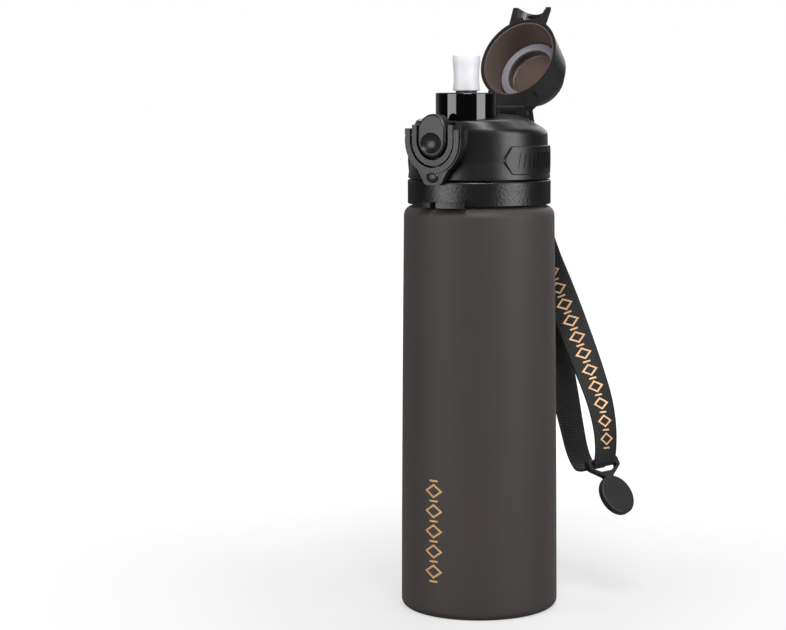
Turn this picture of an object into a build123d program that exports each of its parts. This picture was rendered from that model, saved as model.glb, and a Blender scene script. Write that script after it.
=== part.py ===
"""Folding silicone water bottle with a screw lid, flip cap, pull-up nozzle, lock ring and wrist strap.

Row frame, millimetres: +Z up, origin at the middle of the base, the latch faces -Y and the cap hinge +Y.
The bottle stands unfolded with its cap open, its nozzle up and its lock ring hanging below the latch.
"""

from build123d import *
import math
import os

# ---------------------------------------------------------------- driving sizes
BASE_R = 37.4            # silicone body, outer radius at the base
SHOULDER_R = 35.7        # silicone body, outer radius under the neck ring
BODY_TOP = 192.4         # height of the silicone shoulder
BODY_WALL = 2.2
FLOOR_THICK = 2.8
BASE_ROUND = 3.4
SHOULDER_ROUND = 4.8

RING_R = 33.8            # rigid ring round the neck
RING_Z = (193.2, 204.5)
NECK_BORE_R = 24.2       # drinking opening once the lid is off
NECK_R = 26.6            # threaded neck, root radius
NECK_TOP = 217.0
LID_BORE_R = 28.7        # lid thread, root radius
THREAD_HEIGHT = 1.3
THREAD_PITCH = 4.0
THREAD_TURNS = 2.0
THREAD_START = 206.1

LID_R = 32.3             # lid wall at its top
LID_FLARE_R = 33.6       # lid wall at its hem
LID_Z = 205.1            # lid hem
WALL_TOP = 225.0         # where the lid's wall starts to turn over into the deck
DECK_Y = -10.4           # the spout stands forward of the bottle's axis
DECK_Z = 233.56
DECK_R = 22.0
DECK_TILT = 4.7          # degrees, the deck rises towards the hinge
GASKET_SEAT = 219.0

SPOUT_R = 14.4           # glossy spout collar
SPOUT_SEAT = 229.2
SPOUT_TOP = 245.2
SPOUT_HOLE_R = 6.9
GUIDE_R = 5.05
STEM_R = 5.0
NOZZLE_TOP = 262.9
STRAW_FOOT = 17.0
WELL_Z = 232.4           # floor of the well that the mouthpiece sinks into

HINGE_Y, HINGE_Z = 18.8, 235.6
EAR_X = (12.3, 14.9)     # hinge ears, inner and outer faces
BARREL_HALF = 12.0       # half the length of the cap's hinge barrel
BARREL_R = 3.5
SPRING_HALF = 4.6        # half the length of the spring's room inside the barrel
HINGE_PIN_R = 1.2
CAP_OPEN = 121.0         # degrees from shut to the open stop
CAP_TOP = 258.2
CAP_WALL = 1.2
LINER_WALL = 0.9
RIM_GAP = 0.35           # cap rim above the deck when shut
SEAL_R = (11.9, 15.6)    # cap seal, which shuts onto the spout collar
SEAL_TOP = 246.9
WELL_TOP = 250.4         # roof of the cap over the mouthpiece

PIVOT_Z = 225.7          # lock ring pivot and latch pivot height
ROUND_OFFSET = 2.3       # latch outline: half the straight part of the stadium
BOSS_R = 11.5
BOSS_FRONT = -37.6
POCKET_R = 8.9
POCKET_FLOOR = -30.8
BUTTON_R = 7.8
BUTTON_Y = (-38.7, -32.6)
BUTTON_PIN_Y = -34.6
BUTTON_PIN_R = 1.0
BUTTON_PIN_HALF = 10.1
BUTTON_TOP = 10.0        # pivot to the button's top
LOCK_R = (12.4, 15.8)    # lock ring, inner and outer radius
LOCK_Y = (-38.0, -34.4)
LOCK_PIN_R = 1.2
LOCK_PIN_X = (10.2, 15.4)
LOCK_TAB = 22.6          # pivot to the tip of the finger tab

STRAP_WIDTH = 15.0
STRAP_THICK = 1.3
ANCHOR_Y, ANCHOR_Z = 40.0, 195.0
ANCHOR_BAR_R = 1.5
FOLD_R = 2.4             # webbing centreline round a bar
BAR_POINT = (42.0, 42.9, 67.5)   # the rubber tag's bar, inside the bottom of the loop
BAR_TURN = 80.0          # degrees, heading of the bar from +X
TAG_TILT = 33.0          # degrees, how far the tag leans out from hanging straight
DISC_R = 10.0
DISC_DROP = 18.5         # bar to the middle of the disc

RUN = 0.05               # radial running clearance
THIN = 0.15              # gap between parts that sit beside each other


# ---------------------------------------------------------------- helpers
def tube(outer, inner, low, high):
    """An upright tube on the bottle's axis."""
    height = high - low
    return Pos(0, 0, (low + high) / 2) * (Cylinder(outer, height) - Cylinder(inner, height))


def upright(radius, low, high, y=0.0):
    """An upright cylinder at (0, y)."""
    return Pos(0, y, (low + high) / 2) * Cylinder(radius, high - low)


def crossways(radius, x_low, x_high, y, z):
    """A cylinder along X."""
    return Pos((x_low + x_high) / 2, y, z) * Rot(0, 90, 0) * Cylinder(radius, x_high - x_low)


def turned(points, radii, y=0.0):
    """A solid of revolution from an (r, z) outline, with one corner radius for each point."""
    outline = make_face(Plane.XZ * FilletPolyline(*points, radius=radii, close=True))
    return Pos(0, y, 0) * revolve(outline, Axis.Z, 360)


def front_prism(sketch, y_low, y_high):
    """Extrudes a sketch drawn in (x, z) between two depths."""
    return extrude(Plane.XZ.offset(-y_high) * sketch, y_high - y_low)


def side_prism(points, radii, x_low, x_high):
    """Extrudes a (y, z) outline between two places along X."""
    outline = make_face(FilletPolyline(*points, radius=radii, close=True))
    return extrude(Plane.YZ.offset(x_low) * outline, x_high - x_low)


def block(x, y, z):
    """A box from three (low, high) pairs."""
    centre = [(low + high) / 2 for low, high in (x, y, z)]
    return Pos(*centre) * Box(x[1] - x[0], y[1] - y[0], z[1] - z[0])


def stadium(radius, low_centre, high_centre):
    """An upright stadium sketch in (x, z)."""
    middle = (low_centre + high_centre) / 2
    return (
        Pos(0, low_centre) * Circle(radius)
        + Pos(0, high_centre) * Circle(radius)
        + Pos(0, middle) * Rectangle(2 * radius, high_centre - low_centre)
    )


def thread_ridge(root_radius, outward, start_z, turns):
    """A helical ridge on a wall, THREAD_HEIGHT proud of it, with its foot sunk into the wall."""
    sink = 0.4
    base, tip = 0.95, 0.5
    sign = 1 if outward else -1
    path = Helix(THREAD_PITCH, THREAD_PITCH * turns, root_radius, center=(0, 0, start_z))
    section = Plane(origin=path @ 0, x_dir=(1, 0, 0), z_dir=path % 0)
    profile = make_face(Polyline(
        (-sign * sink, -base), (sign * THREAD_HEIGHT, -tip),
        (sign * THREAD_HEIGHT, tip), (-sign * sink, base), close=True))
    return sweep(section * profile, path=path, is_frenet=True)


def coil(radius, wire, turns, axis_at):
    """A close torsion coil along X about the given (y, z)."""
    pitch = wire * 2 + 0.15
    path = Helix(pitch, pitch * turns, radius)
    section = Plane(origin=path @ 0, x_dir=(1, 0, 0), z_dir=path % 0)
    wound = sweep(section * Circle(wire), path=path, is_frenet=True)
    return Pos(-pitch * turns / 2, *axis_at) * Rot(0, 90, 0) * wound


# ---------------------------------------------------------------- silicone body and neck
def silicone_body():
    """Soft bottle shell, slightly wider at the base, with a bead round its mouth."""
    neck_r, bead_r, bead_low, mouth_z = 29.8, 31.0, 196.4, 199.5
    inner_neck = 27.3
    outer = turned(
        [(0, 0), (BASE_R, 0), (SHOULDER_R, BODY_TOP), (neck_r, BODY_TOP), (neck_r, bead_low),
         (bead_r, bead_low), (bead_r, mouth_z), (0, mouth_z)],
        [0, BASE_ROUND, SHOULDER_ROUND, 0, 0, 0.6, 0.6, 0])
    inner = turned(
        [(0, FLOOR_THICK), (BASE_R - BODY_WALL, FLOOR_THICK), (SHOULDER_R - BODY_WALL, BODY_TOP - 2.6),
         (inner_neck, BODY_TOP - 2.6), (inner_neck, mouth_z + 1), (0, mouth_z + 1)],
        [0, 2.0, 3.0, 1.0, 0, 0])
    return outer - inner


def neck_ring():
    """Rigid ring that clamps the silicone bead, with a notched shelf in front and a strap bar behind."""
    low, high = RING_Z
    ring = turned(
        [(30.0, low), (RING_R, low), (RING_R, high), (27.3, high), (27.3, 202.0), (31.2, 202.0),
         (31.2, 196.2), (30.0, 196.2)],
        [0.3, 0.5, 0.6, 0.3, 0, 0.2, 0.2, 0.2])
    return ring + front_shelf() + strap_bar()


def front_shelf():
    """Notched shelf under the ring's front edge."""
    shelf_r, low, high = 37.2, 192.6, 195.1
    notch_half, left_end, right_end = 1.6, -13.5, 24.0
    shelf = tube(shelf_r, 31.0, RING_Z[0], high) + tube(shelf_r, 36.2, low, high)
    ray = 60.0
    edges = [math.radians(a) for a in (left_end, right_end)]
    wedge = make_face(Polyline(
        (0, 0), (ray * math.sin(edges[0]), -ray * math.cos(edges[0])),
        (ray * math.sin(edges[1]), -ray * math.cos(edges[1])), close=True))
    shelf = shelf & (Pos(0, 0, low - 1) * extrude(wedge, 5))
    notch = block((-notch_half, notch_half), (-shelf_r - 1, -RING_R - 0.3), (low - 1, high + 1))
    riser = Rot(0, 0, right_end - 1.0) * block((-1.1, 1.1), (-shelf_r - 0.25, -32.0), (low, high + 1.3))
    return shelf - notch + riser


def strap_bar():
    """Round bar on two posts behind the ring, for the webbing."""
    post_x, post_thick = 9.6, 2.6
    bar = crossways(ANCHOR_BAR_R, -post_x, post_x, ANCHOR_Y, ANCHOR_Z)
    for side in (-1, 1):
        x = side * post_x
        arm = side_prism(
            [(31.0, 193.2), (40.4, 192.9), (42.4, 195.0), (40.4, 197.1), (31.0, 198.6)],
            [0, 1.2, 1.2, 1.2, 0], x - post_thick / 2, x + post_thick / 2)
        bar += arm - upright(31.3, 190, 202)
    return bar


def neck_insert():
    """Rigid neck inside the silicone mouth, with the lid's thread on it."""
    sleeve_r, flange_r = 27.2, 30.6
    neck = turned(
        [(NECK_BORE_R, 187.0), (29.2, 187.0), (29.2, 189.3), (sleeve_r, 189.3), (sleeve_r, 199.7),
         (flange_r, 199.7), (flange_r, 201.8), (NECK_R, 201.8), (NECK_R, NECK_TOP),
         (NECK_BORE_R, NECK_TOP)],
        [0.8, 0.5, 0.3, 0, 0, 0.3, 0.3, 0, 0.5, 0.5])
    return neck + thread_ridge(NECK_R, True, THREAD_START, THREAD_TURNS)


def lid_gasket():
    """Silicone washer that the lid presses onto the neck."""
    return turned(
        [(23.6, NECK_TOP + 0.1), (28.3, NECK_TOP + 0.1), (28.3, GASKET_SEAT - RUN),
         (23.6, GASKET_SEAT - RUN)], [0.3, 0.3, 0.3, 0.3])


# ---------------------------------------------------------------- lid
def deck_circle(share, height):
    """The lid's outline at one height: share 0 is the wall, share 1 the tilted deck."""
    radius = LID_R - (LID_R - DECK_R) * share
    where = Plane(origin=(0, DECK_Y * share, height)).rotated((DECK_TILT * share, 0, 0))
    return where * Circle(radius)


def lid_outside():
    """Wall with a flared hem, turned over into the sloping deck."""
    wall = turned(
        [(0, LID_Z), (LID_FLARE_R, LID_Z), (LID_FLARE_R - 0.1, 206.4), (32.6, 213.5),
         (LID_R, WALL_TOP), (0, WALL_TOP)], [0, 0.5, 1.5, 12, 0, 0])
    levels = [(0.0, WALL_TOP), (0.025, 226.8), (0.122, 228.4), (0.42, 230.9), (1.0, DECK_Z)]
    dome = loft([deck_circle(share, height) for share, height in levels])
    return wall + dome


def side_plate(side):
    """Raised plate with slanted ends on the lid's side, carrying a row of plain ribs."""
    low, high, middle = 207.6, 220.8, 214.2
    half, nose = 15.6, 19.4
    plate_r, rib_r = 33.7, 34.05
    outline = make_face(FilletPolyline(
        (-half, low), (half, low), (nose, middle), (half, high), (-half, high), (-nose, middle),
        radius=[2.0, 2.0, 3.0, 2.0, 2.0, 3.0], close=True))
    reach = (20.0, 40.0) if side > 0 else (-40.0, -20.0)
    plate = extrude(Plane.YZ.offset(reach[0]) * outline, reach[1] - reach[0])
    plate = plate & tube(plate_r, 31.0, low - 1, high + 1)
    plate = fillet(plate.edges().filter_by(
        lambda e: all(math.hypot(v.X, v.Y) > plate_r - 0.05 for v in e.vertices())), 0.45)
    spacing, rib_thick, rib_low, rib_high = 3.0, 1.1, 210.6, 217.8
    for place in range(-4, 5):
        y = place * spacing
        rib = side_prism(
            [(y - 1.2, rib_low), (y - 1.2 + rib_thick, rib_low), (y + 1.2, rib_high),
             (y + 1.2 - rib_thick, rib_high)], [0, 0, 0, 0], reach[0], reach[1])
        plate += rib & tube(rib_r, 31.0, low, high)
    return plate


def latch_boss():
    """Raised frame round the latch, open at the top, with cheeks behind the lock ring's arms."""
    low, high = PIVOT_Z - ROUND_OFFSET, PIVOT_Z + ROUND_OFFSET
    top = PIVOT_Z + 4.9
    frame = front_prism(stadium(BOSS_R, low, high + 8), BOSS_FRONT, -24.0)
    frame = frame & block((-20, 20), (-45, -20), (200, top))
    cheek = front_prism(stadium(BOSS_R + 2.4, low, high + 8), LOCK_Y[1] + 2.2, -24.0)
    cheek = cheek & block((-20, 20), (-45, -20), (200, PIVOT_Z + 3.0))
    return frame + cheek


def hinge_ears():
    """Two gusset plates that carry the cap's hinge pin."""
    ears = None
    for side in (-1, 1):
        x_low, x_high = sorted((side * EAR_X[0], side * EAR_X[1]))
        ear = side_prism(
            [(9.0, 229.0), (15.1, 239.2), (22.4, 239.2), (25.6, 227.6)],
            [0, 3.6, 3.4, 0], x_low, x_high)
        ears = ear if ears is None else ears + ear
    return ears


def lid_shell():
    """The screw lid: wall, deck, latch boss and hinge ears in one moulding."""
    lid = lid_outside() + side_plate(1) + side_plate(-1) + latch_boss() + hinge_ears()
    cavity = turned(
        [(0, LID_Z - 1), (LID_BORE_R, LID_Z - 1), (LID_BORE_R, GASKET_SEAT), (25.0, GASKET_SEAT),
         (24.0, 226.8), (0, 226.8)], [0, 0, 0.4, 0, 2.0, 0])
    lid -= cavity
    low, high = PIVOT_Z - ROUND_OFFSET, PIVOT_Z + ROUND_OFFSET
    lid -= front_prism(stadium(POCKET_R, low, high + 8), -45.0, POCKET_FLOOR)
    lid -= upright(SPOUT_R + THIN, SPOUT_SEAT, 250, DECK_Y)
    lid -= upright(12.2, 220, 235, DECK_Y)
    lid -= crossways(HINGE_PIN_R, -15.5, 15.5, HINGE_Y, HINGE_Z)
    lid -= crossways(BARREL_R + 0.4, -EAR_X[0], EAR_X[0], HINGE_Y, HINGE_Z)
    lid -= crossways(BUTTON_PIN_R, -BUTTON_PIN_HALF, BUTTON_PIN_HALF, BUTTON_PIN_Y, PIVOT_Z)
    for x_low, x_high in ((-20.0, -LOCK_PIN_X[0]), (LOCK_PIN_X[0], 20.0)):
        lid -= crossways(LOCK_PIN_R, x_low, x_high, sum(LOCK_Y) / 2, PIVOT_Z)
    lid -= vent_hole()
    ridge_turns = 1.6
    return lid + thread_ridge(LID_BORE_R, False, THREAD_START + THREAD_PITCH / 2, ridge_turns)


def vent_hole():
    """Through hole behind the spout for the air valve."""
    return upright(2.6, 220, 245, 8.4)


def vent_valve():
    """Silicone duckbill that lets air back in."""
    body = turned([(0, 222.6), (2.55, 222.6), (2.55, 233.4), (0, 233.4)], [0, 0.3, 0.3, 0], 8.4)
    lip = turned([(0, 225.2), (3.5, 225.2), (3.5, 226.7), (0, 226.7)], [0, 0.3, 0.3, 0], 8.4)
    slit = block((-3, 3), (8.3, 8.5), (221.0, 226.0))
    passage = upright(1.3, 225.5, 240.0, 8.4)
    return body + lip - passage - slit


# ---------------------------------------------------------------- spout and nozzle
def spout_collar():
    """Glossy collar with a guide for the nozzle's stem."""
    y = DECK_Y
    outside = turned(
        [(0, 223.0), (11.9, 223.0), (11.9, SPOUT_SEAT + THIN), (SPOUT_R, SPOUT_SEAT + THIN),
         (SPOUT_R, SPOUT_TOP), (0, SPOUT_TOP)], [0, 0.6, 0, 0.2, 0.6, 0], y)
    hollow = turned(
        [(8.4, 222.0), (10.2, 222.0), (10.2, 230.2), (12.4, 232.0), (12.4, 243.0), (8.4, 243.0)],
        [0, 0, 0.5, 0.5, 0.8, 0.8], y)
    groove = Pos(0, y, 0) * tube(12.5, 11.0, 225.0, 227.2)
    nozzle_well = upright(SPOUT_HOLE_R, WELL_Z, 250, y)
    guide = upright(GUIDE_R, 215, 250, y)
    return outside - hollow - groove - nozzle_well - guide


def spout_seal():
    """O-ring in the collar's groove."""
    return Pos(0, DECK_Y, 226.1) * Torus(11.58, 0.55)


def nozzle_stem():
    """Rigid slider with a stop flange below the guide and a barb inside the silicone tip."""
    return turned(
        [(3.2, 214.0), (4.2, 214.0), (4.2, 222.0), (6.8, 222.0), (6.8, 222.8), (STEM_R, 222.8),
         (STEM_R, 246.0), (4.4, 246.0), (4.4, 251.0), (3.2, 251.0)],
        [0.2, 0.2, 0, 0.2, 0.2, 0, 0.3, 0, 0.2, 0.2], DECK_Y)


def nozzle_tip():
    """Translucent silicone mouthpiece: waisted, with a soft flared lip."""
    outside = [(0, 246.05), (6.3, 246.05), (5.95, 251.0), (6.0, 255.5), (6.5, 260.0),
               (6.45, NOZZLE_TOP), (0, NOZZLE_TOP)]
    tip = turned(outside, [0, 0.5, 12, 12, 8, 1.0, 0], DECK_Y)
    socket = upright(4.4, 240, 251.05, DECK_Y)
    bore = upright(3.1, 240, 270, DECK_Y)
    mouth = Pos(0, DECK_Y, NOZZLE_TOP) * Cone(3.1, 4.4, 2.4)
    return tip - socket - bore - mouth


def straw():
    """Soft drinking straw pushed over the stem's foot, ending above the floor."""
    return turned(
        [(3.2, STRAW_FOOT), (4.6, STRAW_FOOT), (4.6, 206.0), (5.6, 210.0), (5.6, 221.5), (4.25, 221.5),
         (4.25, 211.0), (3.2, 208.0)], [0.2, 0.2, 2, 2, 0.2, 0.2, 0.5, 0.5], DECK_Y)


# ---------------------------------------------------------------- flip cap, built shut and then opened
def deck_space(above):
    """Everything under the deck's plane raised by a gap, for trimming the cap's rim."""
    slab = Pos(0, 0, -40) * Box(160, 160, 80)
    return Pos(0, DECK_Y, DECK_Z + above) * Rot(DECK_TILT, 0, 0) * slab


def opened(shape):
    """Turns a shape about the hinge from shut to the open stop."""
    return Pos(0, HINGE_Y, HINGE_Z) * Rot(-CAP_OPEN, 0, 0) * Pos(0, -HINGE_Y, -HINGE_Z) * shape


def cap_outside():
    """The dome's outer form, down past the rim."""
    return turned(
        [(0, 229.0), (21.9, 229.0), (17.3, 251.2), (12.6, CAP_TOP), (0, CAP_TOP)],
        [0, 0, 8.0, 0.5, 0], DECK_Y)


def cap_hollow(wall, roof):
    """The dome's inner form, a wall inside the outer one, with a flat roof."""
    return turned(
        [(0, 229.0), (21.9 - wall, 229.0), (17.3 - wall, 251.2 - wall), (12.6 - wall, roof), (0, roof)],
        [0, 0, 6.5, 0.5, 0], DECK_Y)


def latch_room():
    """The space in the cap for the latch, its hook and its rocking, between the arch's horns."""
    room_r, top = 8.6, PIVOT_Z + BUTTON_TOP + 0.4
    room = front_prism(stadium(room_r, 215.0, top - room_r), -50.0, BUTTON_Y[1] + 0.25)
    hook = block((-4.0, 4.0), (-50.0, BUTTON_Y[1] + 1.6), (220.0, PIVOT_Z + BUTTON_TOP - 0.4))
    return room + hook


def cap_arch():
    """The arch that straddles the latch: two horns, a crown and a web with a slot under it."""
    centre_z = PIVOT_Z + ROUND_OFFSET
    web_front, slot = -37.0, (-35.4, -34.2)
    band = Pos(0, centre_z) * (Circle(BOSS_R) - Circle(8.9))
    arch = front_prism(band, -37.8, -20.0)
    web = front_prism(Pos(0, centre_z) * Circle(BOSS_R - 0.4), web_front + 0.5, -20.0)
    arch = arch + web - block((-3.5, 3.5), slot, (230.0, 241.0))
    arch &= block((-20, 20), (-45, -10), (PIVOT_Z + 5.5, 250))
    dip = Pos(0, web_front - 40.0, 240.0) * Cylinder(40.0, 30.0)
    return arch - dip


def cap_hinge_arm():
    """Plate and end ribs behind the skirt, ending in the hinge barrel."""
    arm = block((-BARREL_HALF, BARREL_HALF), (4.0, HINGE_Y - 0.3), (HINGE_Z - 2.0, HINGE_Z + BARREL_R))
    for x_low, x_high in ((-BARREL_HALF, 2.0 - BARREL_HALF), (BARREL_HALF - 2.0, BARREL_HALF)):
        arm += side_prism(
            [(HINGE_Y, HINGE_Z + 1.0), (HINGE_Y, HINGE_Z + BARREL_R), (6.0, 247.0), (6.0, HINGE_Z + 1.0)],
            [0, 4.0, 0, 0], x_low, x_high)
    arm -= deck_space(RIM_GAP)
    arm += crossways(BARREL_R, -BARREL_HALF, BARREL_HALF, HINGE_Y, HINGE_Z)
    arm -= crossways(2.65, -SPRING_HALF, SPRING_HALF, HINGE_Y, HINGE_Z)
    return arm - crossways(HINGE_PIN_R + RUN, -13, 13, HINGE_Y, HINGE_Z)


def flip_cap():
    """Outer shell of the cap with its arch and hinge arm."""
    shell = cap_outside() + cap_arch() - latch_room() - deck_space(RIM_GAP) + cap_hinge_arm()
    return opened(shell - cap_hollow(CAP_WALL, CAP_TOP - CAP_WALL))


def cap_liner():
    """Smoky inner shell with a shelf for the seal and a well for the nozzle."""
    fit = CAP_WALL + 0.06
    outer = cap_hollow(fit, CAP_TOP - fit)
    side = turned(
        [(0, 228.0), (22.1 - fit - LINER_WALL, 228.0), (18.2 - fit - LINER_WALL, SEAL_TOP), (0, SEAL_TOP)],
        [0, 0, 0.3, 0], DECK_Y)
    well = turned([(0, 240.0), (11.7, 240.0), (11.7, WELL_TOP), (0, WELL_TOP)], [0, 0, 1.0, 0], DECK_Y)
    void = turned(
        [(0, WELL_TOP + LINER_WALL), (11.0, WELL_TOP + LINER_WALL), (10.6, 255.9), (0, 255.9)],
        [0, 1.0, 1.0, 0], DECK_Y)
    return opened(outer - side - well - void - deck_space(RIM_GAP + 0.7))


def cap_seal():
    """Grey silicone washer that shuts onto the spout collar."""
    low, high = SPOUT_TOP + 0.35, SEAL_TOP - 0.02
    return opened(turned([(SEAL_R[0], low), (SEAL_R[1], low), (SEAL_R[1], high), (SEAL_R[0], high)],
                         [0.5, 0.5, 0.2, 0.2], DECK_Y))


def hinge_pin():
    """Steel pin through ears and knuckles."""
    return crossways(HINGE_PIN_R, -14.8, 14.8, HINGE_Y, HINGE_Z)


def hinge_spring():
    """Torsion coil round the hinge pin that throws the cap open."""
    return coil(2.05, 0.4, 7, (HINGE_Y, HINGE_Z))


# ---------------------------------------------------------------- latch and lock ring
def latch_button():
    """Rocking latch with a deep thumb scoop in its lower half and a hook at its top."""
    front, back = BUTTON_Y
    reach = BUTTON_TOP - BUTTON_R
    button = front_prism(stadium(BUTTON_R, PIVOT_Z - reach, PIVOT_Z + reach), front, back)
    crown = Pos(0, front + 60.0, PIVOT_Z - 2.0) * Rot(0, 90, 0) * Cylinder(60.0, 40)
    button = button & crown
    rim = button.edges().filter_by(lambda e: e.center().Y < front + 1.6)
    button = fillet(rim, 1.2)
    button -= Pos(0, front - 7.6, PIVOT_Z - 3.4) * scale(Sphere(9.8), (0.95, 1.0, 0.8))
    hollow = block((-5.6, 5.6), (back - 1.4, back + 1), (PIVOT_Z - 6.5, PIVOT_Z + 6.5))
    hollow += crossways(2.0, -3.2, 3.2, BUTTON_PIN_Y, PIVOT_Z)
    hook = block((-3.4, 3.4), (back - 0.2, back + 0.9), (PIVOT_Z + 7.4, PIVOT_Z + 8.8))
    bore = crossways(BUTTON_PIN_R + RUN, -12, 12, BUTTON_PIN_Y, PIVOT_Z)
    return button - hollow + hook - bore


def button_pin():
    """Steel pin the latch rocks on."""
    return crossways(BUTTON_PIN_R, -BUTTON_PIN_HALF, BUTTON_PIN_HALF, BUTTON_PIN_Y, PIVOT_Z)


def button_spring():
    """Torsion coil round the latch pin."""
    return coil(1.5, 0.25, 7, (BUTTON_PIN_Y, PIVOT_Z))


def lock_band(outer, inner, front, back):
    """A tall U between two radii, open at the top once it is trimmed."""
    centre_z = PIVOT_Z - ROUND_OFFSET
    return front_prism(
        stadium(outer, centre_z, centre_z + 20) - stadium(inner, centre_z, centre_z + 20), front, back)


def lock_ring():
    """U-shaped lock ring, hanging below its pivot, with a finger tab."""
    inner, outer = LOCK_R
    centre_z = PIVOT_Z - ROUND_OFFSET
    front, back = LOCK_Y
    step = 0.7
    arms = block((-20, 20), (-45, -30), (180, PIVOT_Z)) + crossways(3.3, -20, 20, sum(LOCK_Y) / 2, PIVOT_Z)
    ring = lock_band(outer, inner, front + step, back) + lock_band(outer - step, inner, front, back)
    tab = front_prism(make_face(FilletPolyline(
        (-8.8, centre_z - 12.8), (8.8, centre_z - 12.8), (4.4, PIVOT_Z - LOCK_TAB),
        (-4.4, PIVOT_Z - LOCK_TAB), radius=[0, 0, 3.0, 3.0], close=True)), front + step, back)
    tab -= front_prism(stadium(inner, centre_z, centre_z + 20), front - 1, back + 1)
    ring = (ring & arms) + tab
    pad = Pos(0, front + 0.9, PIVOT_Z - LOCK_TAB + 3.6) * scale(Sphere(3.6), (1.0, 0.42, 0.72))
    ring += pad
    for x_low, x_high in ((-20.0, -12.0), (12.0, 20.0)):
        ring -= crossways(LOCK_PIN_R + RUN, x_low, x_high, sum(LOCK_Y) / 2, PIVOT_Z)
    return ring


def lock_ring_pins():
    """Two stub pins pressed into the latch boss."""
    y = sum(LOCK_Y) / 2
    near, far = LOCK_PIN_X
    return [crossways(LOCK_PIN_R, low, high, y, PIVOT_Z) for low, high in ((-far, -near), (near, far))]


# ---------------------------------------------------------------- strap
def heading(degrees):
    """A level direction, turned from +X towards +Y."""
    angle = math.radians(degrees)
    return Vector(math.cos(angle), math.sin(angle), 0)


def tag_plane():
    """Frame of the rubber tag: x along its bar, y down its length, z out of its face."""
    bar = heading(BAR_TURN)
    outward = Vector(bar.Y, -bar.X, 0)
    tilt = math.radians(TAG_TILT)
    down = outward * math.sin(tilt) + Vector(0, 0, -1) * math.cos(tilt)
    return Plane(origin=BAR_POINT, x_dir=bar, z_dir=bar.cross(down))


# The webbing's route down its outer leg and up its inner leg: (x, y, z, heading of its width).
OUTER_LEG = [
    (0.4, 43.0, 188.0, 2), (4.6, 44.6, 176.0, 8), (9.0, 45.8, 163.0, 15), (14.8, 46.4, 150.0, 22),
    (20.4, 46.4, 138.0, 30), (27.0, 46.2, 124.0, 40), (33.8, 45.6, 110.0, 52), (39.8, 44.6, 97.0, 64),
    (43.6, 43.4, 85.0, 74), (44.9, 42.6, 75.0, 79),
]
INNER_LEG = [
    (38.2, 43.6, 63.6, 80), (32.0, 44.8, 63.0, 80), (26.4, 46.4, 70.0, 78), (21.6, 48.4, 82.0, 72),
    (17.4, 49.4, 96.0, 62), (13.4, 49.2, 112.0, 50), (9.6, 48.0, 128.0, 38), (6.4, 46.0, 144.0, 26),
    (3.6, 43.4, 160.0, 15), (1.4, 40.4, 175.0, 6), (0.2, 38.2, 187.0, 1),
]


def webbing_sections(route):
    """The flat band's cross-sections through a closed list of (x, y, z, width heading) points."""
    places = [Vector(*point[:3]) for point in route]
    sections = []
    for i, (place, point) in enumerate(zip(places, route)):
        along = (places[(i + 1) % len(places)] - places[i - 1]).normalized()
        width = heading(point[3])
        width = (width - along * width.dot(along)).normalized()
        where = Plane(origin=place, x_dir=width, z_dir=along)
        sections.append(where * Rectangle(STRAP_WIDTH, STRAP_THICK))
    return sections


def strap_webbing():
    """The wrist loop, from the ring's bar round the rubber tag's bar and back."""
    steps = [math.pi * i / 6 for i in range(7)]
    top = [(0.0, ANCHOR_Y - FOLD_R * math.cos(a), ANCHOR_Z + FOLD_R * math.sin(a), 0) for a in steps]
    across = heading(BAR_TURN - 90)
    bottom = []
    for angle in range(0, -151, -30):
        a = math.radians(angle)
        place = Vector(*BAR_POINT) + across * (FOLD_R * math.cos(a)) + Vector(0, 0, FOLD_R * math.sin(a))
        bottom.append((*place, BAR_TURN))
    sections = webbing_sections(top + OUTER_LEG + bottom + INNER_LEG)
    middle = len(top) + len(OUTER_LEG)
    down = loft(sections[:middle + 1], ruled=True)
    up = loft(sections[middle:] + sections[:1], ruled=True)
    return down + up


def strap_tag():
    """Rubber tag: a bar for the webbing, two stout legs, a short neck and a round button."""
    frame = tag_plane()
    slot_half, leg, bar_r, thick = 8.2, 2.6, 1.3, 2.6
    apex, neck_half = 7.4, 2.4
    outer = make_face(FilletPolyline(
        (-slot_half - leg, -bar_r), (slot_half + leg, -bar_r), (slot_half + leg, 3.6),
        (neck_half, apex + 1.4), (neck_half, DISC_DROP - 6), (-neck_half, DISC_DROP - 6),
        (-neck_half, apex + 1.4), (-slot_half - leg, 3.6),
        radius=[1.6, 1.6, 2.2, 2.4, 0, 0, 2.4, 2.2], close=True))
    inner = make_face(FilletPolyline(
        (-slot_half, -3.0), (slot_half, -3.0), (slot_half, 3.9), (4.0, 5.8), (-4.0, 5.8),
        (-slot_half, 3.9), radius=[0, 0, 1.0, 1.2, 1.2, 1.0], close=True))
    loop = extrude(outer - inner, thick / 2, both=True)
    loop += crossways(bar_r, -slot_half - 0.5, slot_half + 0.5, 0, 0)
    disc = Pos(0, DISC_DROP, 0) * Cylinder(DISC_R, 3.4)
    disc = fillet(disc.edges().filter_by(GeomType.CIRCLE), 0.8)
    for radius in (DISC_R - 1.2, 5.2):
        groove = Cylinder(radius, 0.6) - Cylinder(radius - 0.6, 0.6)
        disc -= Pos(0, DISC_DROP, 1.7) * groove
    return frame * (loop + disc)


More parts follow.
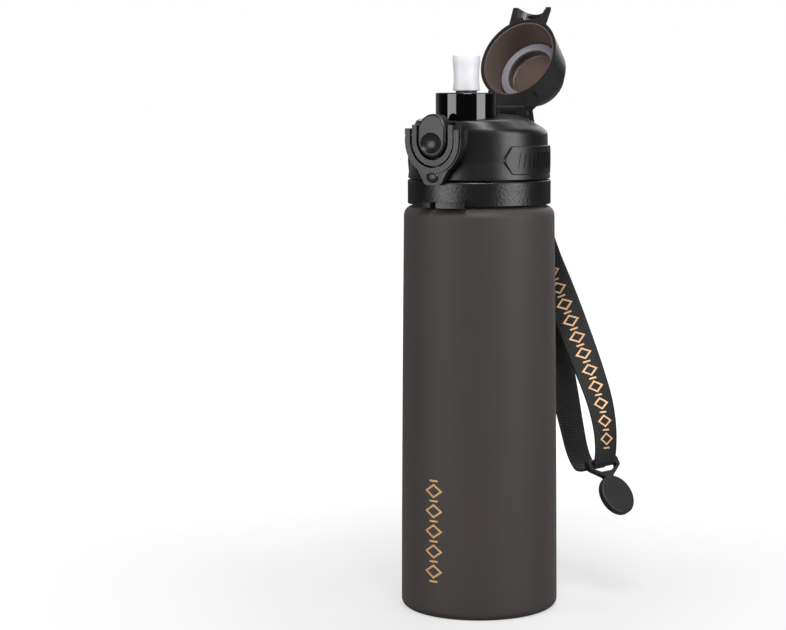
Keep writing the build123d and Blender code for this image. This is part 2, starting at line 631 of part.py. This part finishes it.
# ---------------------------------------------------------------- write
PARTS = {
    "silicone_body": silicone_body,
    "neck_ring": neck_ring,
    "neck_insert": neck_insert,
    "lid_gasket": lid_gasket,
    "lid_shell": lid_shell,
    "vent_valve": vent_valve,
    "spout_collar": spout_collar,
    "spout_seal": spout_seal,
    "nozzle_tip": nozzle_tip,
    "nozzle_stem": nozzle_stem,
    "straw": straw,
    "flip_cap": flip_cap,
    "cap_liner": cap_liner,
    "cap_seal": cap_seal,
    "hinge_pin": hinge_pin,
    "hinge_spring": hinge_spring,
    "latch_button": latch_button,
    "button_pin": button_pin,
    "button_spring": button_spring,
    "lock_ring": lock_ring,
    "lock_ring_pins": lock_ring_pins,
    "strap_webbing": strap_webbing,
    "strap_tag": strap_tag,
}

os.makedirs("parts", exist_ok=True)
for name, build in PARTS.items():
    made = build()
    solids = made if isinstance(made, list) else made.solids()
    shape = Compound(children=list(solids)) if len(solids) > 1 else solids[0]
    export_step(shape, f"parts/{name}.step")
    print(name, len(solids), round(sum(s.volume for s in solids)))
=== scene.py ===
"""The looks of the folding water bottle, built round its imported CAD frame.

Metres, +Z up, with the latch towards -Y and the cap hinge towards +Y.
"""

import math

import bpy
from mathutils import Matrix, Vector


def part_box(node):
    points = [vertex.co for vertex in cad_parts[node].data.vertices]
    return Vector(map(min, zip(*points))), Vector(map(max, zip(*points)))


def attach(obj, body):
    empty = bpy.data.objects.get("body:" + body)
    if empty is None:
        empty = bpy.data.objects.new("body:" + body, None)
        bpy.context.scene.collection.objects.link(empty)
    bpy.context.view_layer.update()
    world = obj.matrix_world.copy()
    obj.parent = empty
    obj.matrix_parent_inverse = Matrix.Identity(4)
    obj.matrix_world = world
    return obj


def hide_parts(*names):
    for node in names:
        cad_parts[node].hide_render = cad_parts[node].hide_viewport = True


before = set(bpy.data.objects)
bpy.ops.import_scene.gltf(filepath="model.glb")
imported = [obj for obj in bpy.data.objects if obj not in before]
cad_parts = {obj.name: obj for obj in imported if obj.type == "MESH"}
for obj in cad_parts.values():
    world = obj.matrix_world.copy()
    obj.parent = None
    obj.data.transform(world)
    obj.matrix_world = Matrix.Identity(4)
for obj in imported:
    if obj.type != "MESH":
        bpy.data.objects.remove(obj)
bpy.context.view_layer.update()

MM = 0.001

# ---------------------------------------------------------------- camera, floor and lights
VIEW_AZIMUTH = math.radians(35.0)     # the camera stands between the latch and the bottle's right side
CAMERA_DISTANCE = 1.0
CAMERA_HEIGHT = 0.25
LENS = 96.8
SENSOR_WIDTH = 36.0
SIDE_SHIFT = -0.1097                  # sets the bottle right of the frame's middle, as a share of its width
AIM_HEIGHT = 0.1399
FLOOR_HALF = 6.0
FLOOR_GLOW = (0.62, 1.0)              # how bright the floor glows to the eye, beside the bottle and far off
FLOOR_GLOW_REACH = (0.08, 0.5)        # how far from the bottle's axis that rise starts and ends
ROOM_LIGHT = 0.03                     # how bright the room is, in front and beside
BACKDROP = 0.25                       # how bright it is straight behind the bottle
BACKDROP_EDGE = (0.25, 0.9)           # cosines off straight behind, where the backdrop starts and is full

towards_camera = Vector((math.sin(VIEW_AZIMUTH), -math.cos(VIEW_AZIMUTH), 0))


def make_camera():
    """Looks slightly down at the bottle's axis."""
    data = bpy.data.cameras.new("camera")
    data.lens = LENS
    data.sensor_width = SENSOR_WIDTH
    data.shift_x = SIDE_SHIFT
    camera = bpy.data.objects.new("camera", data)
    bpy.context.collection.objects.link(camera)
    camera.location = towards_camera * CAMERA_DISTANCE + Vector((0, 0, CAMERA_HEIGHT))
    aim = Vector((0, 0, AIM_HEIGHT))
    camera.rotation_euler = (aim - camera.location).to_track_quat("-Z", "Y").to_euler()
    bpy.context.scene.camera = camera


def make_floor():
    """A floor that looks white, holds a soft contact shadow and throws little light back."""
    mesh = bpy.data.meshes.new("floor")
    corners = [(x * FLOOR_HALF, y * FLOOR_HALF, 0) for x, y in ((-1, -1), (1, -1), (1, 1), (-1, 1))]
    mesh.from_pydata(corners, [], [(0, 1, 2, 3)])
    floor = bpy.data.objects.new("floor", mesh)
    bpy.context.collection.objects.link(floor)
    material, shader, tree = new_material("floor")
    shader.inputs["Base Color"].default_value = (0.2, 0.2, 0.2, 1)
    shader.inputs["Roughness"].default_value = 0.9
    shader.inputs["Specular IOR Level"].default_value = 0.0
    shader.inputs["Emission Color"].default_value = (1, 1, 1, 1)
    path = tree.nodes.new("ShaderNodeLightPath")
    reach = tree.nodes.new("ShaderNodeVectorMath")
    reach.operation = "LENGTH"
    tree.links.new(coordinates(tree), reach.inputs[0])
    glow = spread(tree, reach.outputs["Value"], *FLOOR_GLOW, *FLOOR_GLOW_REACH)
    seen_glow = maths(tree, "MULTIPLY", path.outputs["Is Camera Ray"], glow)
    tree.links.new(seen_glow, shader.inputs["Emission Strength"])
    mesh.materials.append(material)


def area_light(name, turn, distance, height, size, power, aim_height=0.15):
    """A soft box standing round the object, turned from the camera's side by some degrees."""
    data = bpy.data.lights.new(name, "AREA")
    data.shape = "RECTANGLE"
    data.size, data.size_y = size
    data.energy = power
    light = bpy.data.objects.new(name, data)
    bpy.context.collection.objects.link(light)
    angle = VIEW_AZIMUTH + math.radians(turn)
    light.location = (math.sin(angle) * distance, -math.cos(angle) * distance, height)
    aim = Vector((0, 0, aim_height))
    light.rotation_euler = (aim - light.location).to_track_quat("-Z", "Y").to_euler()


def make_world():
    """White to the eye. As a light, a dim room with a pale backdrop behind the bottle."""
    world = bpy.data.worlds.new("studio")
    world.use_nodes = True
    tree = world.node_tree
    nodes, links = tree.nodes, tree.links
    nodes.clear()
    output = nodes.new("ShaderNodeOutputWorld")
    mix = nodes.new("ShaderNodeMixShader")
    seen = nodes.new("ShaderNodeBackground")
    lit = nodes.new("ShaderNodeBackground")
    path = nodes.new("ShaderNodeLightPath")
    facing = nodes.new("ShaderNodeVectorMath")
    facing.operation = "DOT_PRODUCT"
    facing.inputs[1].default_value = -towards_camera
    links.new(coordinates(tree, "Generated"), facing.inputs[0])
    strength = spread(tree, facing.outputs["Value"], ROOM_LIGHT, BACKDROP, *BACKDROP_EDGE, smooth=True)
    seen.inputs["Color"].default_value = (1, 1, 1, 1)
    lit.inputs["Color"].default_value = (0.97, 0.98, 1.0, 1)
    links.new(strength, lit.inputs["Strength"])
    links.new(path.outputs["Is Camera Ray"], mix.inputs[0])
    links.new(lit.outputs[0], mix.inputs[1])
    links.new(seen.outputs[0], mix.inputs[2])
    links.new(mix.outputs[0], output.inputs[0])
    bpy.context.scene.world = world
    bpy.context.scene.view_settings.view_transform = "Standard"


def make_lights():
    """A box either side of the camera, one high in front, one above and one behind."""
    area_light("left_box", -56, 1.1, 0.34, (0.7, 0.8), 8)
    area_light("right_box", 56, 1.1, 0.34, (0.7, 0.8), 9)
    area_light("front_box", 5, 0.85, 1.3, (0.6, 0.6), 18)
    area_light("top_box", 150, 0.5, 1.3, (1.0, 0.8), 7)
    area_light("back_box", 165, 1.2, 0.7, (1.2, 0.8), 4)


# ---------------------------------------------------------------- materials
def new_material(name):
    material = bpy.data.materials.new(name)
    material.use_nodes = True
    tree = material.node_tree
    shader = tree.nodes["Principled BSDF"]
    return material, shader, tree


def coordinates(tree, kind="Object"):
    node = tree.nodes.new("ShaderNodeTexCoord")
    return node.outputs[kind]


def scaled(tree, source, scale):
    node = tree.nodes.new("ShaderNodeMapping")
    node.inputs["Scale"].default_value = scale
    tree.links.new(source, node.inputs["Vector"])
    return node.outputs["Vector"]


def noise(tree, source, scale, detail=3.0, roughness=0.5):
    node = tree.nodes.new("ShaderNodeTexNoise")
    node.inputs["Scale"].default_value = scale
    node.inputs["Detail"].default_value = detail
    node.inputs["Roughness"].default_value = roughness
    tree.links.new(source, node.inputs["Vector"])
    return node.outputs["Fac"]


def ramp(tree, source, low, high, low_at=0.0, high_at=1.0):
    """Maps a value to a colour between two places on a ramp."""
    node = tree.nodes.new("ShaderNodeValToRGB")
    first, last = node.color_ramp.elements
    first.position, last.position = low_at, high_at
    first.color, last.color = (*low, 1), (*high, 1)
    tree.links.new(source, node.inputs["Fac"])
    return node.outputs["Color"]


def spread(tree, source, low, high, from_low=0.0, from_high=1.0, smooth=False):
    """Maps a value, 0 to 1 unless stated, to a range."""
    node = tree.nodes.new("ShaderNodeMapRange")
    if smooth:
        node.interpolation_type = "SMOOTHSTEP"
    limits = {"From Min": from_low, "From Max": from_high, "To Min": low, "To Max": high}
    for socket, value in limits.items():
        node.inputs[socket].default_value = value
    tree.links.new(source, node.inputs["Value"])
    return node.outputs["Result"]


def maths(tree, operation, first, second):
    node = tree.nodes.new("ShaderNodeMath")
    node.operation = operation
    for socket, value in zip(node.inputs, (first, second)):
        if isinstance(value, (int, float)):
            socket.default_value = value
        else:
            tree.links.new(value, socket)
    return node.outputs[0]


def bump(tree, shader, height, depth, strength=1.0):
    """Raises the surface by a height from 0 to 1, depth metres at the most."""
    node = tree.nodes.new("ShaderNodeBump")
    node.inputs["Distance"].default_value = depth
    node.inputs["Strength"].default_value = strength
    tree.links.new(height, node.inputs["Height"])
    tree.links.new(node.outputs["Normal"], shader.inputs["Normal"])


def moulded(name, colour, rough, grain, depth, sheen=0.0, coat=0.0):
    """Moulded plastic or rubber: a fine spark-eroded grain, with slow changes of tone and gloss."""
    material, shader, tree = new_material(name)
    where = coordinates(tree)
    slow = noise(tree, where, 35.0, 2.0)
    darker = tuple(c * 0.82 for c in colour)
    lighter = tuple(c * 1.18 for c in colour)
    tree.links.new(ramp(tree, slow, darker, lighter, 0.3, 0.7), shader.inputs["Base Color"])
    rub = noise(tree, where, 260.0, 3.0, 0.6)
    tree.links.new(spread(tree, rub, rough - 0.06, rough + 0.06), shader.inputs["Roughness"])
    bump(tree, shader, noise(tree, where, grain, 2.0, 0.6), depth)
    shader.inputs["Sheen Weight"].default_value = sheen
    shader.inputs["Sheen Roughness"].default_value = 0.4
    shader.inputs["Coat Weight"].default_value = coat
    shader.inputs["Coat Roughness"].default_value = 0.04
    return material


def silicone_skin():
    """Dark smoky silicone with a soft bloom and a faint cloudiness."""
    material, shader, tree = new_material("smoky_silicone")
    where = coordinates(tree)
    cloud = noise(tree, scaled(tree, where, (1, 1, 0.4)), 14.0, 4.0, 0.55)
    tree.links.new(
        ramp(tree, cloud, (0.0335, 0.0280, 0.0262), (0.0425, 0.0355, 0.0332), 0.32, 0.68),
        shader.inputs["Base Color"])
    dust = noise(tree, where, 900.0, 2.0, 0.5)
    tree.links.new(spread(tree, dust, 0.5, 0.62), shader.inputs["Roughness"])
    bump(tree, shader, noise(tree, where, 1800.0, 2.0, 0.5), 0.00003)
    shader.inputs["Sheen Weight"].default_value = 0.06
    shader.inputs["Sheen Roughness"].default_value = 0.5
    shader.inputs["Specular IOR Level"].default_value = 0.3
    return material


def milky_silicone():
    """Clear-white silicone that lets some light through."""
    material, shader, tree = new_material("milky_silicone")
    where = coordinates(tree)
    milk = noise(tree, where, 180.0, 2.0)
    tree.links.new(
        ramp(tree, milk, (0.80, 0.80, 0.85), (0.90, 0.90, 0.94), 0.3, 0.7), shader.inputs["Base Color"])
    bump(tree, shader, noise(tree, where, 1500.0, 2.0), 0.00002)
    shader.inputs["Roughness"].default_value = 0.32
    shader.inputs["Subsurface Weight"].default_value = 0.6
    shader.inputs["Subsurface Radius"].default_value = (0.004, 0.004, 0.004)
    shader.inputs["Subsurface Scale"].default_value = 1.0
    shader.inputs["Transmission Weight"].default_value = 0.25
    shader.inputs["IOR"].default_value = 1.41
    return material


def brushed_steel():
    """Steel with fine lines across X."""
    material, shader, tree = new_material("brushed_steel")
    where = coordinates(tree)
    lines = noise(tree, scaled(tree, where, (1, 14, 14)), 400.0, 2.0)
    tree.links.new(
        ramp(tree, lines, (0.2, 0.2, 0.21), (0.34, 0.34, 0.35), 0.3, 0.7), shader.inputs["Base Color"])
    tree.links.new(spread(tree, lines, 0.22, 0.4), shader.inputs["Roughness"])
    shader.inputs["Metallic"].default_value = 1.0
    return material


def woven(name, ribbed):
    """Black nylon webbing: a twill face, or a back with ribs across it. UV is metres across and along."""
    material, shader, tree = new_material(name)
    where = coordinates(tree, "UV")
    if ribbed:
        first = wave(tree, where, 780.0, "Y")
        second = wave(tree, where, 1300.0, "X")
        crossing = 0.6
    else:
        first = wave(tree, where, 560.0, "DIAGONAL")
        second = wave(tree, scaled(tree, where, (1, -1, 1)), 560.0, "DIAGONAL")
        crossing = 0.7
    weave = maths(tree, "ADD", maths(tree, "MULTIPLY", second, crossing), 1 - crossing)
    height = maths(tree, "MULTIPLY", first, weave)
    # Painted shade and highlight: the base colour follows the weave's height, darker in the hollows between
    # threads and lighter on their crests.
    tree.links.new(
        ramp(tree, height, (0.002, 0.002, 0.002), (0.018, 0.0175, 0.017), 0.1, 0.85),
        shader.inputs["Base Color"])
    bump(tree, shader, height, 0.00018)
    shader.inputs["Roughness"].default_value = 0.62
    shader.inputs["Sheen Weight"].default_value = 0.06
    shader.inputs["Sheen Roughness"].default_value = 0.35
    shader.inputs["Specular IOR Level"].default_value = 0.35
    return material


def wave(tree, source, threads, direction):
    """Ridges across one direction, with so many threads to a metre."""
    node = tree.nodes.new("ShaderNodeTexWave")
    node.bands_direction = direction
    radians_per_scale = 10.0 if direction == "DIAGONAL" else 20.0
    node.inputs["Scale"].default_value = threads * 2 * math.pi / radians_per_scale
    tree.links.new(source, node.inputs["Vector"])
    return node.outputs["Fac"]


def gold_print(name, colour):
    """Printed metallic ink, a little uneven."""
    material, shader, tree = new_material(name)
    where = coordinates(tree)
    patchy = noise(tree, where, 700.0, 3.0)
    darker = tuple(c * 0.8 for c in colour)
    tree.links.new(ramp(tree, patchy, darker, colour, 0.35, 0.6), shader.inputs["Base Color"])
    tree.links.new(spread(tree, patchy, 0.38, 0.55), shader.inputs["Roughness"])
    shader.inputs["Metallic"].default_value = 0.35
    return material


# ---------------------------------------------------------------- mesh helpers
def add_mesh(name, vertices, faces, materials, smooth=True, uvs=None, face_slots=None):
    mesh = bpy.data.meshes.new(name)
    mesh.from_pydata([tuple(v) for v in vertices], [], faces)
    for material in materials:
        mesh.materials.append(material)
    if uvs:
        layer = mesh.uv_layers.new(name="UVMap")
        for loop_index, uv in enumerate(uvs):
            layer.data[loop_index].uv = uv
    if face_slots:
        mesh.polygons.foreach_set("material_index", face_slots)
    if smooth:
        mesh.polygons.foreach_set("use_smooth", [True] * len(mesh.polygons))
    mesh.validate()
    mesh.update()
    piece = bpy.data.objects.new(name, mesh)
    bpy.context.collection.objects.link(piece)
    return piece


def arc(centre, radius, start, end, steps):
    """Points on an arc in the (r, z) plane, angles in degrees."""
    angles = [math.radians(start + (end - start) * i / steps) for i in range(steps + 1)]
    return [(centre[0] + radius * math.cos(a), centre[1] + radius * math.sin(a)) for a in angles]


def lathe(name, outline, material, segments=160):
    """A closed turned piece from an (r, z) outline that starts and ends on the axis."""
    vertices, faces = [], []
    inner = outline[1:-1]
    for r, z in inner:
        for i in range(segments):
            angle = 2 * math.pi * i / segments
            vertices.append((r * math.cos(angle), r * math.sin(angle), z))
    for row in range(len(inner) - 1):
        for i in range(segments):
            j = (i + 1) % segments
            a, b = row * segments, (row + 1) * segments
            faces.append((a + i, a + j, b + j, b + i))
    for end, row in ((outline[0], 0), (outline[-1], len(inner) - 1)):
        vertices.append((0, 0, end[1]))
        tip = len(vertices) - 1
        for i in range(segments):
            j = (i + 1) % segments
            ring = row * segments
            faces.append((tip, ring + j, ring + i) if row == 0 else (tip, ring + i, ring + j))
    return add_mesh(name, vertices, faces, [material])


# ---------------------------------------------------------------- silicone body
body_low, body_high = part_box("silicone_body")
BASE_R = (body_high.x - body_low.x) / 2
MOUTH_Z = body_high.z
SHOULDER_Z = MOUTH_Z - 7.1 * MM
SHOULDER_R = BASE_R - 1.7 * MM
BODY_WALL = 2.2 * MM
BODY_FLOOR = 2.8 * MM
BASE_ROUND = 3.6 * MM
SHOULDER_ROUND = 4.8 * MM
WALL_TOP = SHOULDER_Z - SHOULDER_ROUND
WALL_BULGE = 0.22 * MM
BASE_HOLLOW = 0.6 * MM
NECK_R = 29.8 * MM
NECK_BORE_R = 27.3 * MM
BEAD_Z = MOUTH_Z - 3.1 * MM


def wall_radius(share):
    """The wall's outer radius, a share of the way from the base's round to the shoulder's."""
    return BASE_R + (SHOULDER_R - BASE_R) * share + WALL_BULGE * math.sin(share * math.pi)


def body_outside():
    """The outer outline, from the middle of the base to the mouth's rim."""
    outline = [(0, BASE_HOLLOW), (BASE_R * 0.62, BASE_HOLLOW), (BASE_R * 0.66, 0.0)]
    outline += arc((BASE_R - BASE_ROUND, BASE_ROUND), BASE_ROUND, -90, -1, 10)
    wall_steps = 40
    for i in range(1, wall_steps):
        share = i / wall_steps
        outline.append((wall_radius(share), BASE_ROUND + (WALL_TOP - BASE_ROUND) * share))
    outline += arc((SHOULDER_R - SHOULDER_ROUND, WALL_TOP), SHOULDER_ROUND, 0, 88, 14)
    outline += [(NECK_R, SHOULDER_Z), (NECK_R, BEAD_Z)]
    outline += arc((NECK_R + 0.8 * MM, BEAD_Z + 0.6 * MM), 0.4 * MM, -90, 0, 4)
    outline += arc((NECK_R + 0.6 * MM, MOUTH_Z - 0.6 * MM), 0.6 * MM, 0, 90, 4)
    return outline


def body_inside():
    """The inner outline, from the mouth's rim down to the middle of the floor."""
    ceiling = SHOULDER_Z - BODY_WALL
    return [
        (NECK_BORE_R + 0.2 * MM, MOUTH_Z), (NECK_BORE_R, MOUTH_Z - 0.3 * MM), (NECK_BORE_R, ceiling),
        (SHOULDER_R - BODY_WALL - 3 * MM, ceiling - 0.4 * MM), (SHOULDER_R - BODY_WALL, SHOULDER_Z - 7 * MM),
        (BASE_R - BODY_WALL, BODY_FLOOR + 4 * MM), (BASE_R - BODY_WALL - 2 * MM, BODY_FLOOR), (0, BODY_FLOOR)]


def make_bottle_skin():
    """The soft shell, with its rounded shoulder, beaded neck and thin wall."""
    skin = lathe("bottle_skin", body_outside() + body_inside(), silicone_skin())
    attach(skin, "bottle")
    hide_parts("silicone_body")


# ---------------------------------------------------------------- printed motif
INK_HALF = 0.12 * MM                  # half of each ink strip's depth


def rhombus(x, y, half_width, half_height):
    return [(x, y - half_height), (x + half_width, y), (x, y + half_height), (x - half_width, y)], True


def dash(x, y, half_length):
    return [(x - half_length, y), (x + half_length, y)], False


def motif_column(low, high, half_width, half_height):
    """Outlined rhombi with a short dash between each two, evenly spread between two heights."""
    count = round((high - low) / (half_height * 3.3))
    pitch = (high - low) / count
    half_dash = half_width * 0.55
    strokes = [dash(0, low, half_dash)]
    for i in range(count):
        middle = low + pitch * (i + 0.5)
        strokes.append(rhombus(0, middle, half_width, half_height))
        strokes.append(dash(0, low + pitch * (i + 1), half_dash))
    return strokes


def refined(points, closed, step):
    """Splits the runs of a line so that it can follow a curved surface."""
    ends = points[1:] + points[:1] if closed else points[1:]
    result = []
    for a, b in zip(points, ends):
        a, b = Vector(a), Vector(b)
        count = max(1, math.ceil((b - a).length / step))
        result += [a.lerp(b, i / count) for i in range(count)]
    if not closed:
        result.append(Vector(points[-1]))
    return result


def printed_lines(name, strokes, width, surface, material):
    """Closed flat strips of ink along each stroke. surface(x, y, lift) gives a lifted point."""
    vertices, faces = [], []
    for points, closed in strokes:
        line = refined(points, closed, 0.9 * MM)
        count = len(line)
        first = len(vertices)
        for i, point in enumerate(line):
            before = line[i - 1] if closed or i else point
            after = line[(i + 1) % count] if closed or i < count - 1 else point
            arriving = (point - before).normalized() if point != before else (after - point).normalized()
            leaving = (after - point).normalized() if after != point else arriving
            side = Vector((-(arriving + leaving).y, (arriving + leaving).x)).normalized()
            stretch = 1 / max(0.45, abs(side.dot(Vector((-leaving.y, leaving.x)))))
            offset = side * (width / 2 * stretch)
            for place in (point + offset, point - offset):
                vertices.append(surface(place.x, place.y, INK_HALF))
                vertices.append(surface(place.x, place.y, -INK_HALF))
        spans = count if closed else count - 1
        for i in range(spans):
            a, b = first + 4 * i, first + 4 * ((i + 1) % count)
            faces += [(a, a + 2, b + 2, b), (a + 1, b + 1, b + 3, a + 3)]
            faces += [(a, b, b + 1, a + 1), (a + 2, a + 3, b + 3, b + 2)]
        if not closed:
            last = first + 4 * (count - 1)
            faces += [(first, first + 1, first + 3, first + 2), (last, last + 2, last + 3, last + 1)]
    return add_mesh(name, vertices, faces, [material], smooth=False)


def on_body(x, y, lift):
    """A point on the body's wall: x round it from the front, y up it."""
    radius = wall_radius((y - BASE_ROUND) / (WALL_TOP - BASE_ROUND)) + lift
    angle = x / BASE_R
    return radius * math.sin(angle), -radius * math.cos(angle), y


def make_body_print():
    """A plain column of rhombi and dashes up the front of the body."""
    strokes = motif_column(17.8 * MM, 65.5 * MM, 4.2 * MM, 2.9 * MM)
    gold = gold_print("gold_ink", (0.66, 0.40, 0.17))
    ink = printed_lines("front_motif", strokes, 0.85 * MM, on_body, gold)
    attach(ink, "bottle")


# ---------------------------------------------------------------- strap
STRAP_WIDTH = 15.0 * MM
STRAP_THICK = 1.15 * MM
# The route is in millimetres: (x, y, z, heading of the webbing's width in degrees).
ANCHOR = (0.0, 40.0, 195.0)
BAR = (42.0, 42.9, 67.5)
BAR_TURN = 80.0
FOLD_R = 2.4
OUTER_LEG = [
    (0.4, 43.0, 188.0, 2), (4.6, 44.6, 176.0, 8), (9.0, 45.8, 163.0, 15), (14.8, 46.4, 150.0, 22),
    (20.4, 46.4, 138.0, 30), (27.0, 46.2, 124.0, 40), (33.8, 45.6, 110.0, 52), (39.8, 44.6, 97.0, 64),
    (43.6, 43.4, 85.0, 74), (44.9, 42.6, 75.0, 79),
]
INNER_LEG = [
    (38.2, 43.6, 63.6, 80), (32.0, 44.8, 63.0, 80), (26.4, 46.4, 70.0, 78), (21.6, 48.4, 82.0, 72),
    (17.4, 49.4, 96.0, 62), (13.4, 49.2, 112.0, 50), (9.6, 48.0, 128.0, 38), (6.4, 46.0, 144.0, 26),
    (3.6, 43.4, 160.0, 15), (1.4, 40.4, 175.0, 6), (0.2, 38.2, 187.0, 1),
]


def level(degrees):
    angle = math.radians(degrees)
    return Vector((math.cos(angle), math.sin(angle), 0))


def strap_route():
    """The band's centreline as a closed list of places and width headings, in metres and degrees."""
    route = []
    fold_steps = 6
    for i in range(fold_steps + 1):
        a = math.pi * i / fold_steps
        route.append((Vector(ANCHOR) + Vector((0, -math.cos(a), math.sin(a))) * FOLD_R, 0))
    route += [(Vector(p[:3]), p[3]) for p in OUTER_LEG]
    across = level(BAR_TURN - 90)
    for angle in range(0, -151, -30):
        a = math.radians(angle)
        place = Vector(BAR) + across * (FOLD_R * math.cos(a)) + Vector((0, 0, FOLD_R * math.sin(a)))
        route.append((place, BAR_TURN))
    route += [(Vector(p[:3]), p[3]) for p in INNER_LEG]
    return [(place * MM, turn) for place, turn in route]


def curve_value(a, b, c, d, t):
    """Catmull-Rom between b and c."""
    return ((b * 2) + (c - a) * t + (a * 2 - b * 5 + c * 4 - d) * t * t
            + (b * 3 - a - c * 3 + d) * t * t * t) * 0.5


class Band:
    """The strap's centreline, with the frame across it at any distance along it."""

    def __init__(self, step=0.8 * MM):
        route = strap_route()
        count = len(route)
        self.places, self.turns, self.along = [], [], [0.0]
        for i in range(count):
            around = [route[(i + k) % count] for k in (-1, 0, 1, 2)]
            places = [place for place, turn in around]
            turns = [turn for place, turn in around]
            pieces = max(2, math.ceil((places[2] - places[1]).length / step))
            for k in range(pieces):
                self.places.append(curve_value(*places, k / pieces))
                self.turns.append(curve_value(*turns, k / pieces))
        for a, b in zip(self.places, self.places[1:] + self.places[:1]):
            self.along.append(self.along[-1] + (b - a).length)
        self.length = self.along[-1]

    def frame(self, i):
        """A place on the centreline, with the directions along, across and out of the band there."""
        tangent = (self.places[(i + 1) % len(self.places)] - self.places[i - 1]).normalized()
        width = level(self.turns[i])
        width = (width - tangent * width.dot(tangent)).normalized()
        return self.places[i], tangent, width, tangent.cross(width)

    def point(self, distance, across, lift):
        """A point on the band: distance along it, across it, and lifted off its outer face."""
        i = min(range(len(self.places)), key=lambda k: abs(self.along[k] - distance))
        place, tangent, width, normal = self.frame(i)
        return place + tangent * (distance - self.along[i]) + width * across + normal * lift


def band_section():
    """The webbing's cross-section as (across, lift) points: flat faces and soft selvedges."""
    half_w, half_t = STRAP_WIDTH / 2, STRAP_THICK / 2
    soft, side = half_w - 0.2 * MM, half_w - 0.7 * MM
    flank = half_t * 0.72
    under = [(-half_w, 0.0), (-soft, -flank), (-side, -half_t), (0, -half_t), (side, -half_t), (soft, -flank)]
    return under + [(-across, -lift) for across, lift in under]


def make_strap():
    """The wrist loop, with its printed motif, as a woven band."""
    band = Band()
    ring = band_section()
    vertices, faces, uvs, slots = [], [], [], []
    count, around = len(band.places), len(ring)
    for i in range(count):
        place, _, width, normal = band.frame(i)
        for across, lift in ring:
            vertices.append(place + width * across + normal * lift)
    for i in range(count):
        j = (i + 1) % count
        for k in range(around):
            m = (k + 1) % around
            faces.append((i * around + k, i * around + m, j * around + m, j * around + k))
            v0, v1 = band.along[i], band.along[i + 1]
            u0, u1 = ring[k][0], ring[m][0]
            uvs += [(u0, v0), (u1, v0), (u1, v1), (u0, v1)]
            on_face = ring[k][1] + ring[m][1] > 0
            slots.append(0 if on_face else 1)
    weaves = [woven("webbing_face", False), woven("webbing_back", True)]
    strap = add_mesh("strap_band", vertices, faces, weaves, uvs=uvs, face_slots=slots)
    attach(strap, "strap")
    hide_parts("strap_webbing")
    ink = strap_print(band)
    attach(ink, "strap")


def strap_print(band):
    """The same plain motif, repeated along the webbing's outer face."""
    def on_band(x, y, lift):
        return band.point(y, x, STRAP_THICK / 2 + lift)

    strokes = motif_column(34 * MM, band.length * 0.46, 3.6 * MM, 2.6 * MM)
    gold = gold_print("strap_ink", (0.78, 0.48, 0.27))
    return printed_lines("strap_motif", strokes, 0.8 * MM, on_band, gold)


# ---------------------------------------------------------------- finishes on the CAD nodes
def finish_nodes():
    """Gives each carried-over CAD node its material."""
    lid = moulded("lid_plastic", (0.0060, 0.0058, 0.0066), 0.33, 1500.0, 0.00005)
    ring = moulded("ring_plastic", (0.0050, 0.0049, 0.0056), 0.30, 1000.0, 0.00014)
    cap = moulded("cap_plastic", (0.0135, 0.0125, 0.0128), 0.38, 1700.0, 0.00003)
    liner = moulded("liner_plastic", (0.090, 0.063, 0.055), 0.42, 1500.0, 0.00002)
    collar = moulded("collar_gloss", (0.0012, 0.0012, 0.0014), 0.05, 600.0, 0.000001, coat=0.4)
    seal = moulded("seal_grey", (0.215, 0.21, 0.245), 0.5, 1200.0, 0.00003)
    dark = moulded("neck_plastic", (0.008, 0.0078, 0.008), 0.4, 1500.0, 0.00004)
    tag = moulded("tag_rubber", (0.010, 0.0098, 0.0098), 0.52, 1300.0, 0.00005, sheen=0.05)
    milky = milky_silicone()
    steel = brushed_steel()
    finishes = {
        "neck_ring": ring, "neck_insert": dark, "lid_gasket": seal, "lid_shell": lid, "vent_valve": seal,
        "spout_collar": collar, "spout_seal": seal, "nozzle_tip": milky, "nozzle_stem": dark, "straw": milky,
        "flip_cap": cap, "cap_liner": liner, "cap_seal": seal, "hinge_pin": steel, "hinge_spring": steel,
        "latch_button": lid, "button_pin": steel, "button_spring": steel, "lock_ring": lid,
        "lock_ring_pins": dark, "strap_tag": tag,
    }
    for node, material in finishes.items():
        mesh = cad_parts[node].data
        mesh.materials.clear()
        mesh.materials.append(material)


make_camera()
make_world()
make_floor()
make_lights()
finish_nodes()
make_bottle_skin()
make_body_print()
make_strap()
